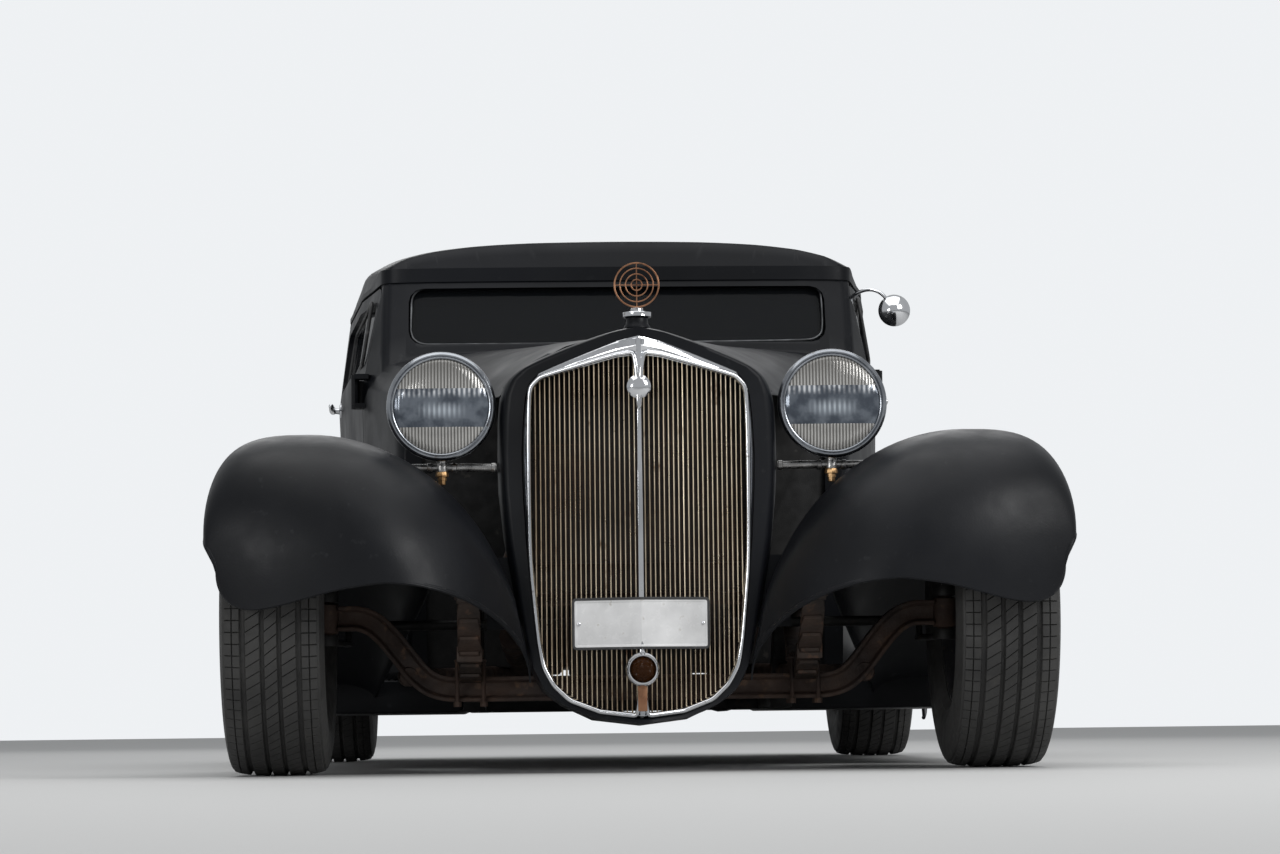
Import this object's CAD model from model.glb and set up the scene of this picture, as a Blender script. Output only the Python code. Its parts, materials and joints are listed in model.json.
import json
import math
import bmesh
import bpy
from mathutils import Matrix, Vector

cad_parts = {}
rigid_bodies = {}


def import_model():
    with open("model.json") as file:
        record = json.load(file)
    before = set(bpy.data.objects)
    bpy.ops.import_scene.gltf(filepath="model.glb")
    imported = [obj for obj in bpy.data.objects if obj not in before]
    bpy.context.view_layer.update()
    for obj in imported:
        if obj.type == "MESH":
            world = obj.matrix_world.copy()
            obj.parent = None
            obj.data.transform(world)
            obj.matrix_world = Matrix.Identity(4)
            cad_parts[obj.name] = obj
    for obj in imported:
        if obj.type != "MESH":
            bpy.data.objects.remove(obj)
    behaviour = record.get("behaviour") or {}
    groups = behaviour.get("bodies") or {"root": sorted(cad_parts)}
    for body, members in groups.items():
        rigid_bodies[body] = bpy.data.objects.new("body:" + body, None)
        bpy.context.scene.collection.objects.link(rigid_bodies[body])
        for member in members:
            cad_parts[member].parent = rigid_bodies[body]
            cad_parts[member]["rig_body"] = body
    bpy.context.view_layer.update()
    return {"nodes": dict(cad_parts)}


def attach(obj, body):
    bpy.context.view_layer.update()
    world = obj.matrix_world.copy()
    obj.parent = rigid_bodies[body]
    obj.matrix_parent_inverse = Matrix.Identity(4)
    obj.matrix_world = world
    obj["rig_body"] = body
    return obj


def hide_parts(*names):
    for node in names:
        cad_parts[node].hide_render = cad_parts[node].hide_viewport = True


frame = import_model()
print("stage: frame loaded,", len(frame["nodes"]), "nodes")


def pairs(*numbers):
    # Pairs of millimetres as metres, mostly across and out from an axle
    return [(a / 1000, b / 1000) for a, b in zip(numbers[::2], numbers[1::2])]


def triples(*numbers):
    return [tuple(n / 1000 for n in numbers[k:k + 3]) for k in range(0, len(numbers), 3)]


def addItem(name, data):
    item = bpy.data.objects.new(name, data)
    bpy.context.scene.collection.objects.link(item)
    return item


def clearTree(owner):
    owner.use_nodes = True
    owner.node_tree.nodes.clear()
    return owner.node_tree


def setInputs(node, inputs):
    # An input is another node's output, a number or a colour
    for key, value in inputs.items():
        if isinstance(value, bpy.types.NodeSocket):
            node.id_data.links.new(value, node.inputs[key])
        else:
            node.inputs[key].default_value = (*value, 1) if isinstance(value, tuple) else value


def addNode(tree, kind, inputs, **choices):
    node = tree.nodes.new("ShaderNode" + kind)
    for choice, value in choices.items():
        setattr(node, choice, value)
    setInputs(node, inputs)
    return node


def startMaterial(name, inputs):
    material = bpy.data.materials.new(name)
    tree = clearTree(material)
    surface = addNode(tree, "BsdfPrincipled", inputs)
    addNode(tree, "OutputMaterial", {0: surface.outputs[0]})
    return material, tree, surface, addNode(tree, "TexCoord", {}).outputs["Object"]


# The camera stands low in front of the car and looks slightly up at it
cameraSettings = {"place": (-0.262, -9.14, 0.10), "headingDeg": -2.1, "pitchDeg": 4.85, "rollDeg": -0.69,
                  "lensMm": 98.4}


def placeCamera(settings):
    data = bpy.data.cameras.new("photoCamera")
    data.lens = settings["lensMm"]
    data.sensor_width = 36
    data.clip_end = 200
    camera = addItem("photoCamera", data)
    turn = (Matrix.Rotation(math.radians(settings["headingDeg"]), 4, "Z")
            @ Matrix.Rotation(math.radians(90 + settings["pitchDeg"]), 4, "X")
            @ Matrix.Rotation(math.radians(settings["rollDeg"]), 4, "Z"))
    camera.matrix_world = Matrix.Translation(settings["place"]) @ turn
    bpy.context.scene.camera = camera


placeCamera(cameraSettings)
bpy.context.scene.view_settings.view_transform = "Standard"

# Pale floor, pale backdrop and large soft lamps: where they stand, what they face, their size and watts
studioSettings = {
    "floorSize": 60.0, "floorColour": (0.55, 0.55, 0.545), "skyColour": (0.86, 0.88, 0.90), "skyLight": 0.50, "lamps": {
        "overhead": ((0.0, -1.5, 5.2), (0.0, -0.6, 0.6), (6.0, 7.0), 170),
        "frontLeft": ((-5.5, -8.0, 1.9), (0.0, -1.6, 0.5), (2.2, 1.5), 85),
        "frontRight": ((5.5, -6.5, 4.2), (0.0, -1.2, 0.6), (3.5, 3.0), 270),
        "rearHigh": ((0.0, 7.0, 4.5), (0.0, 0.8, 0.8), (6.0, 3.0), 70),
    },
}


def makeStudio(settings):
    bpy.ops.mesh.primitive_plane_add(size=settings["floorSize"])
    floor = bpy.context.object
    floor.name = "studioFloor"
    paint = startMaterial("studioFloor", {"Base Color": settings["floorColour"], "Roughness": 0.75})
    floor.data.materials.append(paint[0])
    world = bpy.context.scene.world or bpy.data.worlds.new("studio")
    bpy.context.scene.world = world
    tree = clearTree(world)
    # What the camera sees of the sky is brighter than the light it gives
    light, seen = (addNode(tree, "Background", {0: settings["skyColour"], 1: strength}).outputs[0]
                   for strength in (settings["skyLight"], 1.0))
    paths = addNode(tree, "LightPath", {})
    mixed = addNode(tree, "MixShader", {0: paths.outputs["Is Camera Ray"], 1: light, 2: seen})
    addNode(tree, "OutputWorld", {0: mixed.outputs[0]})
    for name, (place, aim, size, watts) in settings["lamps"].items():
        data = bpy.data.lights.new(name, "AREA")
        data.shape = "RECTANGLE"
        data.size, data.size_y = size
        data.energy = watts
        item = addItem(name, data)
        item.location = place
        item.rotation_euler = (Vector(aim) - Vector(place)).to_track_quat("-Z", "Y").to_euler()


makeStudio(studioSettings)
print("stage: camera, floor and lamps")

# Each finish has a dark and a light tone that drift into each other over patches, a range of roughness, a fine bump
# and some wear. Sizes are how many patches lie on a metre, wearShare is how much of the surface the wear takes.
finishColumns = ("dark", "light", "patch", "rough", "metallic", "grain", "grainDepth", "wear", "wearSize", "wearShare",
                 "coat")
finishRows = {
    "satinBlack": ((0.003, 0.0034, 0.0044), (0.008, 0.0088, 0.0112), 2.6, (0.33, 0.48), 0.0, 240, 0.00025,
        (0.016, 0.017, 0.019), 46, 0.006, 0.0),
    "bodySatin": ((0.0032, 0.0037, 0.0048), (0.0085, 0.0095, 0.0122), 1.6, (0.34, 0.5), 0.0, 260, 0.00012,
        (0.015, 0.016, 0.018), 40, 0.02, 0.05),
    "darkSteel": ((0.005, 0.005, 0.0055), (0.018, 0.017, 0.016), 6, (0.48, 0.72), 0.3, 120, 0.0006,
        (0.04, 0.027, 0.019), 26, 0.1, 0.0),
    "rustyIron": ((0.02, 0.013, 0.011), (0.062, 0.036, 0.025), 9, (0.62, 0.88), 0.15, 190, 0.0014,
        (0.105, 0.06, 0.036), 36, 0.12, 0.0),
    "castIron": ((0.006, 0.006, 0.0065), (0.022, 0.021, 0.02), 9, (0.55, 0.78), 0.35, 260, 0.0008,
        (0.045, 0.03, 0.022), 18, 0.03, 0.0),
    "chrome": ((0.5, 0.51, 0.53), (0.78, 0.79, 0.81), 5, (0.06, 0.15), 1.0, 320, 0.00006, (0.3, 0.27, 0.24), 70, 0.03,
        0.0),
    "lampSteel": ((0.22, 0.235, 0.26), (0.42, 0.44, 0.47), 14, (0.12, 0.26), 1.0, 300, 0.00003, (0.13, 0.11, 0.09),
        60, 0.03, 0.0),
    "wornChrome": ((0.24, 0.235, 0.23), (0.6, 0.595, 0.585), 26, (0.2, 0.42), 0.95, 260, 0.0003, (0.14, 0.09, 0.055),
        60, 0.09, 0.0),
    "brightReflector": ((0.72, 0.72, 0.74), (0.9, 0.9, 0.92), 12, (0.1, 0.2), 1.0, 200, 0.0001, (0.55, 0.5, 0.42), 40,
        0.08, 0.0),
    "amberBrass": ((0.26, 0.14, 0.055), (0.62, 0.4, 0.2), 40, (0.28, 0.46), 0.8, 240, 0.0003, (0.12, 0.07, 0.04), 90,
        0.12, 0.0),
    "springSteel": ((0.016, 0.012, 0.01), (0.058, 0.036, 0.026), 16, (0.45, 0.7), 0.4, 160, 0.0005,
        (0.11, 0.06, 0.038), 40, 0.14, 0.0),
    "rimAlloy": ((0.05, 0.052, 0.055), (0.15, 0.155, 0.16), 30, (0.35, 0.55), 0.9, 220, 0.00004, (0.08, 0.075, 0.07),
        60, 0.05, 0.0),
    "mirrorGlass": ((0.7, 0.71, 0.72), (0.78, 0.79, 0.8), 9, (0.03, 0.06), 1.0, 60, 0.00001, (0.6, 0.6, 0.6), 90,
        0.02, 0.0),
    "screenWire": ((0.01, 0.004, 0.002), (0.04, 0.016, 0.007), 9, (0.6, 0.85), 0.2, 200, 0.0002, (0.05, 0.03, 0.016),
        24, 0.06, 0.0),
    "agedNickel": ((0.3, 0.22, 0.14), (0.74, 0.64, 0.48), 5, (0.24, 0.42), 0.75, 280, 0.0002, (0.2, 0.12, 0.07), 22,
        0.07, 0.0),
    "copperBronze": ((0.15, 0.065, 0.035), (0.4, 0.21, 0.12), 24, (0.3, 0.52), 0.85, 240, 0.0003, (0.1, 0.06, 0.04),
        70, 0.1, 0.0),
    "tyreRubber": ((0.022, 0.0215, 0.021), (0.05, 0.049, 0.047), 7, (0.58, 0.8), 0.0, 420, 0.0003,
        (0.042, 0.04, 0.037), 24, 0.06, 0.0),
    "seatLeather": ((0.018, 0.015, 0.013), (0.05, 0.042, 0.036), 6, (0.38, 0.58), 0.0, 300, 0.0009,
        (0.095, 0.078, 0.064), 18, 0.14, 0.08),
    "plateEnamel": ((0.56, 0.56, 0.56), (0.76, 0.76, 0.76), 14, (0.18, 0.32), 0.0, 60, 0.0002, (0.4, 0.37, 0.33), 70,
        0.03, 0.3),
    "blackRubber": ((0.012, 0.012, 0.013), (0.035, 0.035, 0.036), 20, (0.4, 0.62), 0.0, 200, 0.0003,
        (0.09, 0.09, 0.09), 50, 0.08, 0.0),
    "wheelSteel": ((0.016, 0.016, 0.018), (0.045, 0.045, 0.048), 8, (0.32, 0.5), 0.2, 150, 0.0003, (0.14, 0.12, 0.1),
        44, 0.12, 0.15),
    "cabinTrim": ((0.006, 0.006, 0.0065), (0.017, 0.0165, 0.016), 7, (0.6, 0.85), 0.0, 380, 0.0007, (0.1, 0.09, 0.08),
        26, 0.02, 0.0),
}
finishExtras = {
    "satinBlack": {"shine": 0.19, "swell": (9.0, 0.0012)},
    "bodySatin": {"shine": 0.13, "swell": (4.0, 0.0008)},
}


def addNoise(tree, place, scale, detail):
    return addNode(tree, "TexNoise", {"Vector": place, "Scale": scale, "Detail": detail}).outputs["Fac"]


def addRamp(tree, value, low, first, high, last):
    ramp = addNode(tree, "ValToRGB", {"Fac": value})
    for element, spot, colour in zip(ramp.color_ramp.elements, (low, high), (first, last)):
        element.position = spot
        element.color = (*colour, 1)
    return ramp.outputs["Color"]


def addRange(tree, value, low, high, first=0.0, last=1.0, shape="LINEAR"):
    inputs = {"Value": value, "From Min": low, "From Max": high, "To Min": first, "To Max": last}
    return addNode(tree, "MapRange", inputs, interpolation_type=shape).outputs["Result"]


def addBump(tree, height, strength, distance):
    return addNode(tree, "Bump", {"Height": height, "Strength": strength, "Distance": distance})


def addTone(tree, share, first, last):
    return addNode(tree, "Mix", {0: share, 6: first, 7: last}, data_type="RGBA").outputs[2]


def addWave(tree, place, scale):
    return addNode(tree, "TexWave", {"Vector": place, "Scale": scale}, bands_direction="X").outputs["Fac"]


def makeFinish(name, settings):
    material, tree, surface, place = startMaterial(name, {
        "Metallic": settings["metallic"], "Coat Weight": settings["coat"], "Coat Roughness": 0.25,
        "Specular IOR Level": settings.get("shine", 0.5)})
    tones = addRamp(tree, addNoise(tree, place, settings["patch"], 6), 0.32, settings["dark"], 0.70, settings["light"])
    edge = 0.66 - 0.5 * settings["wearShare"]
    chips = addRamp(tree, addNoise(tree, place, settings["wearSize"], 10), edge, (0, 0, 0), edge + 0.12, (1, 1, 1))
    gloss = addRange(tree, addNoise(tree, place, settings["patch"] * 5, 5), 0.3, 0.7, *settings["rough"])
    bump = addBump(tree, addNoise(tree, place, settings["grain"], 4), 0.6, settings["grainDepth"])
    if "swell" in settings:  # the slow unevenness of hand-beaten sheet under the paint
        size, depth = settings["swell"]
        beaten = addBump(tree, addNoise(tree, place, size, 3), 0.8, depth)
        setInputs(bump, {"Normal": beaten.outputs["Normal"]})
    setInputs(surface, {"Base Color": addTone(tree, chips, tones, settings["wear"]), "Roughness": gloss,
                        "Normal": bump.outputs["Normal"]})
    return material


def makeGlass(name, colour, rough, shine, ribs=None):
    # Panes let light through; a lens is also fluted by thin upright ribs
    material, tree, surface, place = startMaterial(name, {
        "Base Color": colour, "Transmission Weight": 0.75, "IOR": 1.18, "Specular IOR Level": shine})
    setInputs(surface, {"Roughness": addRange(tree, addNoise(tree, place, 9, 7), 0.35, 0.75, rough, rough + 0.02)})
    if ribs:
        setInputs(surface, {"Normal": addBump(tree, addWave(tree, place, ribs), 0.8, 0.002).outputs["Normal"]})
    return material


flutedSettings = {"fine": 46.0, "short": 30.0, "bandLow": 0.722, "bandHigh": 0.803, "glintLow": 0.781, "middle": 0.757,
                  "lampX": 0.41}


def makeFlutedGlass(name, settings):
    # A headlamp lens: fine upright flutes above and below, a bluish band with glinting short flutes between
    material, tree, surface, place = startMaterial(name, {
        "Roughness": 0.10, "IOR": 1.35, "Transmission Weight": 0.30, "Metallic": 0.25})
    apart = addNode(tree, "SeparateXYZ", {0: place})
    height = apart.outputs["Z"]

    def addMath(operation, left, right=0.0):
        return addNode(tree, "Math", {0: left, 1: right}, operation=operation).outputs[0]

    def addStep(value, low, high, first=0.0, last=1.0):
        return addRange(tree, value, low, high, first, last, "SMOOTHSTEP")

    across = addMath("SUBTRACT", addMath("ABSOLUTE", apart.outputs["X"]), settings["lampX"])
    outside = addMath("ADD", addMath("GREATER_THAN", height, settings["bandHigh"]),
                      addMath("LESS_THAN", height, settings["bandLow"]))
    fine, short = addWave(tree, place, settings["fine"]), addWave(tree, place, settings["short"])
    blotch = addNoise(tree, place, 34, 3)
    ribTone = addTone(tree, fine, (0.15, 0.145, 0.135), (0.66, 0.65, 0.63))
    ribTone = addTone(tree, addStep(height, 0.860, 0.800, 0.45, 1.0), (0.12, 0.115, 0.105), ribTone)
    glints = addMath("MULTIPLY", addStep(height, settings["glintLow"], settings["bandHigh"] - 0.006),
                     addMath("POWER", short, 1.6))
    glints = addMath("MULTIPLY", glints, addStep(blotch, 0.38, 0.56, 0.25, 1.0))
    away = addMath("ABSOLUTE", addMath("SUBTRACT", height, settings["middle"]))
    glow = addMath("MULTIPLY", addStep(away, 0.022, 0.0), addStep(addMath("ABSOLUTE", across), 0.062, 0.012))
    glow = addMath("MULTIPLY", glow, addStep(short, 0.25, 0.95, 0.35, 1.0))
    bandTone = addTone(tree, addStep(blotch, 0.35, 0.65), (0.085, 0.100, 0.125), (0.19, 0.215, 0.25))
    bandTone = addTone(tree, glow, bandTone, (0.60, 0.66, 0.72))
    bandTone = addTone(tree, glints, bandTone, (0.95, 0.97, 1.00))
    ribs = addNode(tree, "Mix", {0: outside, 2: addMath("MULTIPLY", short, 0.5), 3: fine})
    setInputs(surface, {"Base Color": addTone(tree, outside, bandTone, ribTone),
                        "Normal": addBump(tree, ribs.outputs[0], 0.45, 0.0012).outputs["Normal"]})
    return material


finishes = {name: makeFinish(name, {**dict(zip(finishColumns, row)), **finishExtras.get(name, {})})
            for name, row in finishRows.items()}
finishes["flutedGlass"] = makeFlutedGlass("flutedGlass", flutedSettings)
finishes["paneGlass"] = makeGlass("paneGlass", (0.022, 0.025, 0.029), 0.0, 0.14)
finishes["amberGlass"] = makeGlass("amberGlass", (0.10, 0.035, 0.010), 0.05, 0.25, 40)
finishes["redGlass"] = makeGlass("redGlass", (0.40, 0.015, 0.01), 0.05, 0.5, 36)

# The finish of every node that stays in sight itself; the others are replaced below
nodeFinishes = {
    "darkSteel": ["exhaust"],
    "castIron": ["radiator"],
    "paneGlass": ["door_glass_left", "door_glass_right", "quarter_glass_left", "quarter_glass_right", "windshield",
                  "rear_window"],
}


def finishNodes(table):
    for finish, names in table.items():
        for name in names:
            slots = frame["nodes"][name].material_slots
            for holder in slots:
                holder.material = finishes[finish]
            if not slots:
                frame["nodes"][name].data.materials.append(finishes[finish])


finishNodes(nodeFinishes)
print("stage: finishes", len(finishes))

def selectOnly(*items):
    bpy.ops.object.select_all(action="DESELECT")
    for item in items:
        item.select_set(True)
    bpy.context.view_layer.objects.active = items[0]


def openMesh(item):
    # Goes to edit mode with all of the piece's mesh selected
    selectOnly(item)
    bpy.ops.object.mode_set(mode="EDIT")
    bpy.ops.mesh.select_all(action="SELECT")


def closeMesh():
    bpy.ops.object.mode_set(mode="OBJECT")


def shadeBy(item, degrees):
    selectOnly(item)
    bpy.ops.object.shade_smooth_by_angle(angle=math.radians(degrees))


def modify(item, kind, **choices):
    selectOnly(item)
    modifier = item.modifiers.new(kind.lower(), kind)
    for choice, value in choices.items():
        setattr(modifier, choice, value)
    bpy.ops.object.modifier_apply(modifier=modifier.name)


def soften(item, edge, segments, degrees):
    modify(item, "BEVEL", width=edge, segments=segments, limit_method="ANGLE", angle_limit=math.radians(degrees))


def fromWork(name, work, tidyNormals=True):
    # Makes a piece of a bmesh that is done
    if tidyNormals:
        bmesh.ops.recalc_face_normals(work, faces=work.faces)
    mesh = bpy.data.meshes.new(name)
    work.to_mesh(mesh)
    work.free()
    return addItem(name, mesh)


def loft(name, rows):
    # A closed skin through rows of points that each go once round
    work = bmesh.new()
    rings = [[work.verts.new(spot) for spot in row] for row in rows]
    for near, far in zip(rings, rings[1:]):
        for k in range(len(near)):
            work.faces.new((near[k - 1], near[k], far[k], far[k - 1]))
    work.faces.new(rings[0])
    work.faces.new(rings[-1])
    return fromWork(name, work)


def copyNode(node, name):
    # A node's mesh is loose triangles, so the copy is merged
    item = addItem(name, frame["nodes"][node].data.copy())
    item.data.materials.clear()
    openMesh(item)
    bpy.ops.mesh.remove_doubles(threshold=0.00002)
    closeMesh()
    return item


def place(item, finish, node=None, body="car"):
    # Gives a piece its finish, the body it rides on and the node it stands for
    item.data.materials.clear()
    item.data.materials.append(finishes[finish])
    if node:
        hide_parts(node)
        body = frame["nodes"][node]["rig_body"]
    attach(item, body)


def joinAll(items, name):
    selectOnly(*items)
    bpy.ops.object.join()
    items[0].name = name
    return items[0]


def skinPoint(item, start, aim):
    hit, where, normal, face = item.ray_cast(Vector(start), Vector(aim).normalized())
    return (where, normal) if hit else None


def hullOf(points):
    # The convex outline of flat points, in turn
    flat = sorted({(round(a, 4), round(b, 4)) for a, b in points})
    hull = []
    for row in (flat, list(reversed(flat))):
        part = []
        for p in row:
            while len(part) > 1 and ((part[-1][0] - part[-2][0]) * (p[1] - part[-2][1])
                                     - (part[-1][1] - part[-2][1]) * (p[0] - part[-2][0])) <= 1e-9:
                part.pop()
            part.append(p)
        hull += part[:-1]
    return hull


def splineRows(rows, steps):
    # Rows of numbers blended as a subdivided edge would be, ends kept
    out = []
    for k in range(len(rows) - 1):
        b, c = rows[k], rows[k + 1]
        a = rows[k - 1] if k else [2 * p - q for p, q in zip(b, c)]
        d = rows[k + 2] if k + 2 < len(rows) else [2 * q - p for p, q in zip(b, c)]
        for step in range(steps):
            t = step / steps
            weights = ((1 - t) ** 3, 3 * t ** 3 - 6 * t * t + 4, -3 * t ** 3 + 3 * t * t + 3 * t + 1, t ** 3)
            out.append([sum(w * n for w, n in zip(weights, numbers)) / 6 for numbers in zip(a, b, c, d)])
    out.append(list(rows[-1]))
    return out


def curvedPath(points, steps):
    return [Vector(row) for row in splineRows(points, steps)]


# Pressed panels: each is a copy of its solid, made quads again and smoothed, with its real edges kept crisp.
# Finish, least angle of a crisp edge, angle up to which the shading runs on
pressedPanels = {
    "fender_rear_left": ("satinBlack", 38, 35),
    "fender_rear_right": ("satinBlack", 38, 35),
    "hood": ("bodySatin", 38, 35),
    "grille_shell": ("bodySatin", 38, 35),
    "grille_surround": ("chrome", 50, 35),
    "body_shell": ("bodySatin", 30, 35),
    "door_left": ("bodySatin", 30, 16),
    "door_right": ("bodySatin", 30, 16),
    "boot_lid": ("bodySatin", 30, 35),
}


def pressPanel(node, finish, crisp, soft):
    item = copyNode(node, "pressed_" + node)
    openMesh(item)
    bpy.ops.mesh.tris_convert_to_quads(face_threshold=math.radians(40), shape_threshold=math.radians(60))
    bpy.ops.mesh.select_all(action="DESELECT")
    bpy.ops.mesh.edges_select_sharp(sharpness=math.radians(crisp))
    bpy.ops.transform.edge_crease(value=1)
    closeMesh()
    modify(item, "SUBSURF", levels=2)
    shadeBy(item, soft)
    place(item, finish, node)
    return item


# Front fenders: one clean sheet through the sections that the solid has, thick at the lip, open over the wheel.
# Along, crown height and place, outer edge place and height, inner edge place and height, lags, dip
sheetSettings = {
    "front": -2.125, "length": 1.305, "height": 0.72, "span": 0.893, "power": 0.62, "around": 22, "steps": 7,
    "sheet": 0.004, "axleY": -1.675, "axleZ": 0.33, "archRadius": 0.350, "archSetIn": 0.093, "sections": [
        (0.000, 0.540, 0.590, 0.962, 0.575, 0.255, 0.260, 0.060, 0.180, 0.075),
        (0.000, 0.665, 0.650, 0.982, 0.625, 0.255, 0.300, 0.060, 0.180, 0.045),
        (0.030, 0.815, 0.700, 0.996, 0.655, 0.265, 0.340, 0.038, 0.150, 0.010),
        (0.080, 0.910, 0.735, 1.000, 0.670, 0.280, 0.380, 0.015, 0.120, 0.000),
        (0.160, 0.972, 0.760, 1.000, 0.680, 0.330, 0.520, 0.000, 0.060, 0.000),
        (0.270, 1.000, 0.775, 1.000, 0.695, 0.440, 0.640, 0.000, 0.020, 0.000),
        (0.420, 0.985, 0.780, 1.000, 0.670, 0.455, 0.650, 0.000, 0.000, 0.000),
        (0.570, 0.890, 0.780, 1.000, 0.560, 0.480, 0.610, 0.000, 0.000, 0.000),
        (0.720, 0.700, 0.785, 0.998, 0.380, 0.530, 0.500, 0.000, 0.000, 0.000),
        (0.860, 0.480, 0.790, 0.995, 0.230, 0.600, 0.360, 0.000, 0.000, 0.000),
        (1.000, 0.290, 0.800, 0.990, 0.150, 0.660, 0.235, 0.000, 0.000, 0.000),
    ],
}


def sheetPoint(shares, settings, share, side):
    # Share runs from 0 at the outer edge over the crown at 1 to the inner edge at 2
    along, crownZ, crownX, outerX, outerZ, innerX, innerZ, outerLag, innerLag, dip = shares
    turn = math.pi / 2 * (share if share <= 1 else share - 1)
    y = settings["front"] + along * settings["length"]
    if share <= 1:
        out, rise = max(math.cos(turn), 0) ** settings["power"], max(math.sin(turn), 0) ** settings["power"]
        x = crownX + (outerX - crownX) * out
        z = outerZ + (crownZ - outerZ) * rise - dip * math.sin(2 * turn)
        y += outerLag * settings["length"] * out * out
    else:
        x = crownX + (innerX - crownX) * math.sin(turn)
        z = innerZ + (crownZ - innerZ) * math.cos(turn)
        y += innerLag * settings["length"] * math.sin(turn) ** 2
    return Vector((side * x * settings["span"], y, z * settings["height"]))


def cutAway(item, tool):
    modify(item, "BOOLEAN", operation="DIFFERENCE", solver="EXACT", object=tool)
    bpy.data.objects.remove(tool, do_unlink=True)


def pressSheet(side, tag, settings):
    arc, work = settings["around"], bmesh.new()
    shares = [(k / arc) ** 1.25 for k in range(arc)] + [1 + k / arc for k in range(arc + 1)]
    grid = [[work.verts.new(sheetPoint(row, settings, share, side)) for share in shares]
            for row in splineRows(settings["sections"], settings["steps"])]
    for near, far in zip(grid, grid[1:]):
        for k in range(len(shares) - 1):
            work.faces.new((near[k], near[k + 1], far[k + 1], far[k])[::-side])
    sheet = fromWork("pressed_fender_front_" + tag, work, False)
    modify(sheet, "SOLIDIFY", thickness=settings["sheet"], offset=-1)
    wheel = [(settings["axleY"] + settings["archRadius"] * math.cos(math.radians(a)),
              settings["axleZ"] + settings["archRadius"] * math.sin(math.radians(a))) for a in range(0, 360, 3)]
    ends = sorted((side * (settings["span"] - settings["archSetIn"]), side * 1.2))
    cutAway(sheet, loft("archTool", [[(x, y, z) for y, z in wheel] for x in ends]))
    shell = hullOf([(v.co.x * 1.004, v.co.z) for v in frame["nodes"]["grille_shell"].data.vertices if v.co.y < -1.84])
    cutAway(sheet, loft("shellTool", [[(x, y, z) for x, z in shell] for y in (-2.4, -1.74)]))
    shadeBy(sheet, 50)
    place(sheet, "satinBlack", "fender_front_" + tag)
    return sheet


sides = (("left", 1), ("right", -1))
panels = {node: pressPanel(node, *choices) for node, choices in pressedPanels.items()}
for tag, side in sides:
    panels["fender_front_" + tag] = pressSheet(side, tag, sheetSettings)
print("stage: pressed panels", len(panels))

# Tyres: five ribs parted by four deep grooves, each rib cut into blocks. Lengths across and out from the wheel's centre
tyreSettings = {
    "blocks": 84, "grooveDepth": 0.0075, "blockHeight": 0.0038, "sipeWidth": 0.0013, "sipeSlant": 2.4,
    "ribEdges": pairs(-94, -62, -52, -21.5, -13.5, 13.5, 21.5, 52, 62, 94),
    "crown": pairs(0, 329.6, 30, 329.4, 50, 328.8, 65, 327.6, 78, 325.8, 94, 321.2),
    "sidewall": pairs(98.5, 315.5, 102.2, 306, 102, 303.5, 104.8, 295, 106.4, 286, 107.2, 272, 106.6, 258, 105.2, 248,
                      105.8, 246, 104, 235, 101, 222, 97, 212, 97.5, 209.5, 94.5, 204, 90.5, 199, 85, 194, 84, 192.5),
    "inside": pairs(77, 192.5, 79, 205, 90, 230, 93, 270, 85, 305),
}
wheelPlaces = {
    "front_left": (0.7575, -1.675, 0.0075), "front_right": (-0.7575, -1.675, 0.0075),
    "rear_left": (0.775, 1.125, 0.015), "rear_right": (-0.775, 1.125, 0.015),
}
axleHeight = 0.33


def readCurve(points, at):
    for (near, low), (far, high) in zip(points, points[1:]):
        if at <= far:
            return low + (high - low) * (at - near) / (far - near)
    return points[-1][1]


def spinProfile(name, points, steps, closed):
    # The points are across and out from an axle that lies along X through the origin
    mesh = bpy.data.meshes.new(name)
    count = len(points)
    edges = [(k, k + 1) for k in range(count - 1)] + ([(count - 1, 0)] if closed else [])
    mesh.from_pydata([(across, 0, out) for across, out in points], edges, [])
    item = addItem(name, mesh)
    openMesh(item)
    bpy.ops.mesh.spin(steps=steps, angle=2 * math.pi, center=(0, 0, 0), axis=(1, 0, 0))
    bpy.ops.mesh.select_all(action="SELECT")
    bpy.ops.mesh.remove_doubles(threshold=0.00001)
    bpy.ops.mesh.normals_make_consistent(inside=False)
    closeMesh()
    return item


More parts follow.
